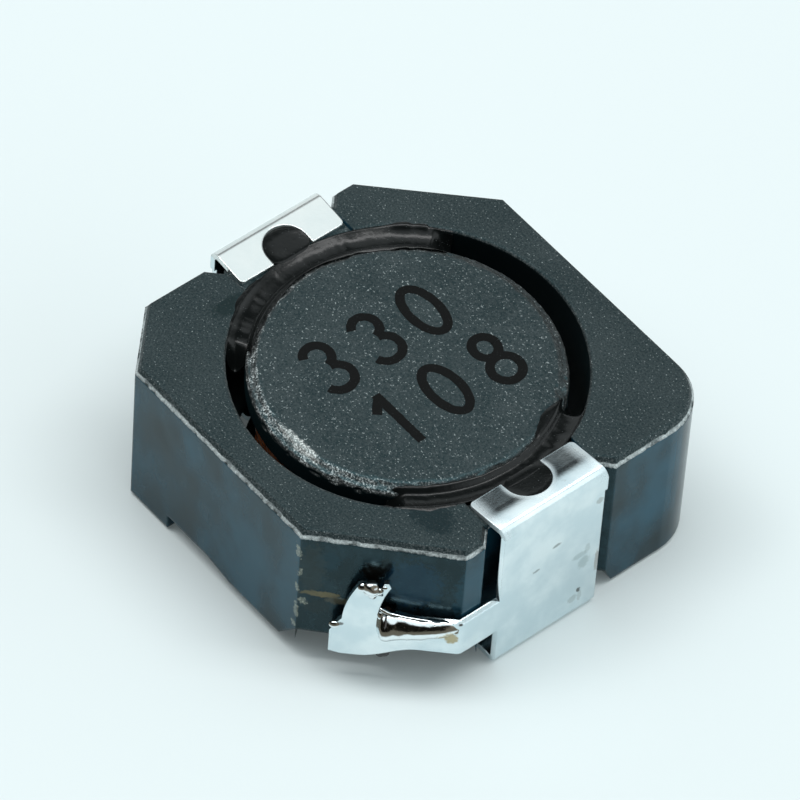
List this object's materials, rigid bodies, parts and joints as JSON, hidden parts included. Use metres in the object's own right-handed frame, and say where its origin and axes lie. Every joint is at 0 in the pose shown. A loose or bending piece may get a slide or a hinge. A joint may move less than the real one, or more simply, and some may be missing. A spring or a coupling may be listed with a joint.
{
  "type": "shielded smd inductor",
  "caption": "Shielded surface-mount power inductor: a wound ferrite drum in a square ferrite ring with two folded tinned terminals and soldered wire ends",
  "frame": {"origin": "centre of the rectangular footprint, in the plane of the solder pads", "axes": "+Z points away from the board; the two terminals are on +X and -X; the front terminal is the one on +X, and its ear points to -Y"},
  "size_m": [0.0104, 0.0098, 0.0046],
  "materials": {
    "ferrite": "sintered dark grey ferrite, satin on the pressed sides and slightly rough on top",
    "ferrite_drum": "ground ferrite with fine light specks",
    "copper_wire": "copper wire under clear enamel",
    "tinned_strip": "bright tin plate",
    "solder": "bright reflowed solder",
    "epoxy": "glossy black epoxy"
  },
  "bodies": {
    "root": {"ring_core": "ferrite", "drum_core": "ferrite_drum", "winding": "copper_wire", "terminal_front": "tinned_strip", "terminal_rear": "tinned_strip", "solder_front": "solder", "solder_rear": "solder", "core_epoxy_front": "epoxy", "core_epoxy_rear": "epoxy"}
  },
  "joints": []
}
